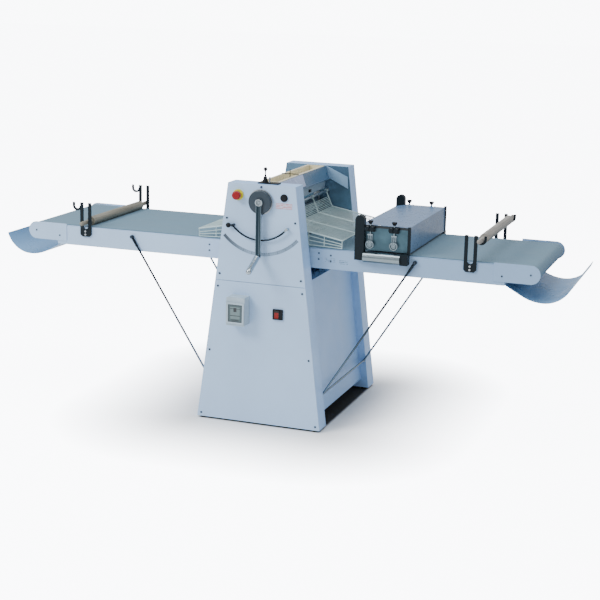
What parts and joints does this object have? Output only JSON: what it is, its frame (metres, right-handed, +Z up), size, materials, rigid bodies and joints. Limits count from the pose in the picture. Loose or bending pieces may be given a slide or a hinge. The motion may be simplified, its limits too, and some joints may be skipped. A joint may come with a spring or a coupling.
{
  "type": "dough sheeter",
  "caption": "Floor-standing dough sheeter: two sloping towers with a lever-set roller pair, two folding belt tables with struts and scoops, wire guards and a roller cutting station.",
  "frame": {"origin": "bottom centre of the whole machine's box, on the floor; the middle plane between the towers is 78 mm behind it, because the lever handle stands out at the front", "axes": "+X along the tables towards the cutting station, +Y towards the rear tower, +Z up; the lever and controls face -Y"},
  "size_m": [2.9178, 1.0618, 1.2575],
  "materials": {
    "body_paint": "satin powder coat, pale blue-white",
    "cover_paint": "satin powder coat, pale blue-white",
    "table_paint": "satin powder coat, pale blue-white",
    "hood_paint": "satin, blue-grey",
    "steel": "brushed",
    "chrome": "polished",
    "black_plastic": "matt",
    "black_metal": "satin black",
    "hub_grey": "satin dark grey",
    "red_plastic": "gloss",
    "yellow_plastic": "gloss",
    "belt_fabric": "woven food-grade belt",
    "pin_wood_dark": "turned, worn",
    "pin_wood_pale": "turned, oiled",
    "tray_plastic": "translucent cream",
    "guard_wire": "plastic-coated wire",
    "scoop_paint": "satin",
    "cover_lavender": "pale clear-tinted sheet",
    "box_plastic": "light grey",
    "lid_dark": "smoked window",
    "rubber_black": "matt",
    "motor_grey": "painted casting",
    "label_grey": "printed strip"
  },
  "bodies": {
    "machine": {"front_tower": "body_paint", "rear_tower": "body_paint", "front_upper_cover": "cover_paint", "front_lower_cover": "cover_paint", "rear_covers": "cover_paint", "cover_screws": "steel", "base_frame": "body_paint", "skirt_panels": "body_paint", "levelling_feet": "rubber_black", "motor_unit": "motor_grey", "drive_chain": "steel", "roller_mounts": "steel", "hood": "hood_paint", "head_panels": "cover_paint", "lever_guide": "chrome", "panel_labels": "label_grey", "estop_base": "yellow_plastic", "panel_bezels": "black_plastic", "breaker_box": "box_plastic"},
    "motor_sprocket": {"motor_sprocket": "steel"},
    "lower_roller": {"lower_roller": "chrome"},
    "upper_roller": {"upper_roller": "chrome"},
    "carriage": {"roller_carriage": "steel"},
    "lever": {"thickness_lever": "hub_grey", "lever_handle": "chrome", "adjusting_shaft": "chrome"},
    "flour_tray": {"flour_tray": "tray_plastic"},
    "estop_button": {"estop_button": "red_plastic"},
    "start_button": {"start_button": "black_plastic"},
    "joystick": {"joystick": "black_plastic"},
    "rocker_switch": {"rocker_switch": "red_plastic"},
    "breaker_lid": {"breaker_lid": "lid_dark"},
    "breaker_toggle": {"breaker_toggle": "black_plastic"},
    "left_table": {"left_table_frame": "table_paint", "left_catch_tray": "scoop_paint", "left_pin_forks": "black_metal", "left_conveyor_belt": "belt_fabric"},
    "left_drive_roller": {"left_drive_roller": "steel"},
    "left_end_roller": {"left_end_roller": "steel"},
    "left_strut": {"left_strut": "chrome"},
    "left_guard_rod": {"left_guard_rod": "steel"},
    "left_guard": {"left_guard": "guard_wire"},
    "left_rolling_pin": {"left_rolling_pin": "pin_wood_dark"},
    "right_table": {"right_table_frame": "table_paint", "right_catch_tray": "scoop_paint", "right_pin_forks": "black_metal", "station_frame": "black_metal", "station_plates": "steel", "station_cover": "cover_lavender", "right_conveyor_belt": "belt_fabric"},
    "right_drive_roller": {"right_drive_roller": "steel"},
    "right_end_roller": {"right_end_roller": "steel"},
    "right_strut": {"right_strut": "chrome"},
    "right_guard_rod": {"right_guard_rod": "steel"},
    "right_guard": {"right_guard": "guard_wire"},
    "right_rolling_pin": {"right_rolling_pin": "pin_wood_pale"},
    "calibrating_carriage": {"calibrating_carriage": "chrome"},
    "calibrating_roller": {"calibrating_roller": "steel"},
    "cutting_carriage": {"cutting_carriage": "chrome"},
    "cutting_roller": {"cutting_roller": "steel"}
  },
  "joints": [
    {"name": "lower_roller_spin", "type": "hinge", "parent": "machine", "child": "lower_roller", "pos_m": [0, 0.07843, 0.838], "axis": [0, 1, 0], "continuous": true},
    {"name": "motor_sprocket_spin", "type": "hinge", "parent": "machine", "child": "motor_sprocket", "pos_m": [0, 0.07843, 0.3], "axis": [0, 1, 0], "continuous": true},
    {"name": "lever_swing", "type": "hinge", "parent": "machine", "child": "lever", "pos_m": [0, 0.07843, 1.099], "axis": [0, 1, 0], "range_deg": [-42, 42]},
    {"name": "carriage_lift", "type": "slide", "parent": "machine", "child": "carriage", "axis": [0, 0, 1], "range_m": [-0.0191, 0.0191]},
    {"name": "upper_roller_spin", "type": "hinge", "parent": "carriage", "child": "upper_roller", "pos_m": [0, 0.07843, 0.942], "axis": [0, 1, 0], "continuous": true},
    {"name": "flour_tray_lift", "type": "slide", "parent": "machine", "child": "flour_tray", "axis": [0, 0, 1], "range_m": [0, 0.06]},
    {"name": "estop_press", "type": "slide", "parent": "machine", "child": "estop_button", "axis": [0, 1, 0], "range_m": [0, 0.005], "stiffness_N_per_m": 800},
    {"name": "start_press", "type": "slide", "parent": "machine", "child": "start_button", "axis": [0, 1, 0], "range_m": [0, 0.003], "stiffness_N_per_m": 600},
    {"name": "joystick_tilt", "type": "hinge", "parent": "machine", "child": "joystick", "pos_m": [0, -0.32157, 1.2183], "axis": [0, 1, 0], "range_deg": [-12, 12], "stiffness_Nm_per_rad": 0.5},
    {"name": "rocker_tip", "type": "hinge", "parent": "machine", "child": "rocker_switch", "pos_m": [0.091, -0.37707, 0.564], "axis": [1, 0, 0], "range_deg": [-5, 5]},
    {"name": "breaker_lid_swing", "type": "hinge", "parent": "machine", "child": "breaker_lid", "pos_m": [-0.142, -0.44037, 0.564], "axis": [0, 0, 1], "range_deg": [-100, 0]},
    {"name": "breaker_toggle_throw", "type": "hinge", "parent": "machine", "child": "breaker_toggle", "pos_m": [-0.097, -0.43037, 0.564], "axis": [1, 0, 0], "range_deg": [0, 40]},
    {"name": "left_table_fold", "type": "hinge", "parent": "machine", "child": "left_table", "pos_m": [-0.19, 0.07843, 0.835], "axis": [0, 1, 0], "range_deg": [0, 75]},
    {"name": "left_guard_rod_turn", "type": "hinge", "parent": "machine", "child": "left_guard_rod", "pos_m": [-0.06, 0.07843, 1.05], "axis": [0, 1, 0], "range_deg": [0, 86.26]},
    {"name": "left_guard_open", "type": "hinge", "parent": "left_guard_rod", "child": "left_guard", "pos_m": [-0.06, 0.07843, 1.05], "axis": [0, 1, 0], "range_deg": [0, 25]},
    {"name": "left_strut_swing", "type": "hinge", "parent": "left_table", "child": "left_strut", "pos_m": [-0.728, 0.07843, 0.852], "axis": [0, 1, 0], "range_deg": [-45.76, 0]},
    {"name": "left_drive_roller_spin", "type": "hinge", "parent": "left_table", "child": "left_drive_roller", "pos_m": [-0.1, 0.07843, 0.842], "axis": [0, 1, 0], "continuous": true},
    {"name": "left_end_roller_spin", "type": "hinge", "parent": "left_table", "child": "left_end_roller", "pos_m": [-1.2695, 0.07843, 0.842], "axis": [0, 1, 0], "continuous": true},
    {"name": "left_rolling_pin_lift", "type": "slide", "parent": "left_table", "child": "left_rolling_pin", "axis": [0, 0, 1], "range_m": [0, 0.12]},
    {"name": "right_table_fold", "type": "hinge", "parent": "machine", "child": "right_table", "pos_m": [0.19, 0.07843, 0.835], "axis": [0, -1, 0], "range_deg": [0, 5]},
    {"name": "right_guard_rod_turn", "type": "hinge", "parent": "machine", "child": "right_guard_rod", "pos_m": [0.06, 0.07843, 1.05], "axis": [0, -1, 0], "range_deg": [0, 5.76]},
    {"name": "right_guard_open", "type": "hinge", "parent": "right_guard_rod", "child": "right_guard", "pos_m": [0.06, 0.07843, 1.05], "axis": [0, -1, 0], "range_deg": [0, 25]},
    {"name": "right_strut_swing", "type": "hinge", "parent": "right_table", "child": "right_strut", "pos_m": [0.728, 0.07843, 0.852], "axis": [0, -1, 0], "range_deg": [-3.06, 0]},
    {"name": "right_drive_roller_spin", "type": "hinge", "parent": "right_table", "child": "right_drive_roller", "pos_m": [0.1, 0.07843, 0.842], "axis": [0, 1, 0], "continuous": true},
    {"name": "right_end_roller_spin", "type": "hinge", "parent": "right_table", "child": "right_end_roller", "pos_m": [1.2695, 0.07843, 0.842], "axis": [0, 1, 0], "continuous": true},
    {"name": "right_rolling_pin_lift", "type": "slide", "parent": "right_table", "child": "right_rolling_pin", "axis": [0, 0, 1], "range_m": [0, 0.03]},
    {"name": "calibrating_height", "type": "slide", "parent": "right_table", "child": "calibrating_carriage", "axis": [0, 0, 1], "range_m": [0, 0.009]},
    {"name": "calibrating_roller_spin", "type": "hinge", "parent": "calibrating_carriage", "child": "calibrating_roller", "pos_m": [0.507, 0.07843, 0.921], "axis": [0, 1, 0], "continuous": true},
    {"name": "cutting_height", "type": "slide", "parent": "right_table", "child": "cutting_carriage", "axis": [0, 0, 1], "range_m": [0, 0.009]},
    {"name": "cutting_roller_spin", "type": "hinge", "parent": "cutting_carriage", "child": "cutting_roller", "pos_m": [0.623, 0.07843, 0.921], "axis": [0, 1, 0], "continuous": true}
  ],
  "couplings": [
    {"joint": "motor_sprocket_spin", "follows": "lower_roller_spin", "ratio": 1.5},
    {"joint": "upper_roller_spin", "follows": "lower_roller_spin", "ratio": -1},
    {"joint": "carriage_lift", "follows": "lever_swing", "m_per_rad": -0.02592},
    {"joint": "left_guard_rod_turn", "follows": "left_table_fold", "ratio": 1.15},
    {"joint": "left_strut_swing", "follows": "left_table_fold", "ratio": -0.61},
    {"joint": "left_drive_roller_spin", "follows": "lower_roller_spin", "ratio": 1.2},
    {"joint": "left_end_roller_spin", "follows": "lower_roller_spin", "ratio": 1.2},
    {"joint": "right_guard_rod_turn", "follows": "right_table_fold", "ratio": 1.15},
    {"joint": "right_strut_swing", "follows": "right_table_fold", "ratio": -0.61},
    {"joint": "right_drive_roller_spin", "follows": "lower_roller_spin", "ratio": 1.2},
    {"joint": "right_end_roller_spin", "follows": "lower_roller_spin", "ratio": 1.2},
    {"joint": "calibrating_roller_spin", "follows": "lower_roller_spin", "ratio": -1.15},
    {"joint": "cutting_roller_spin", "follows": "lower_roller_spin", "ratio": -1.15}
  ]
}
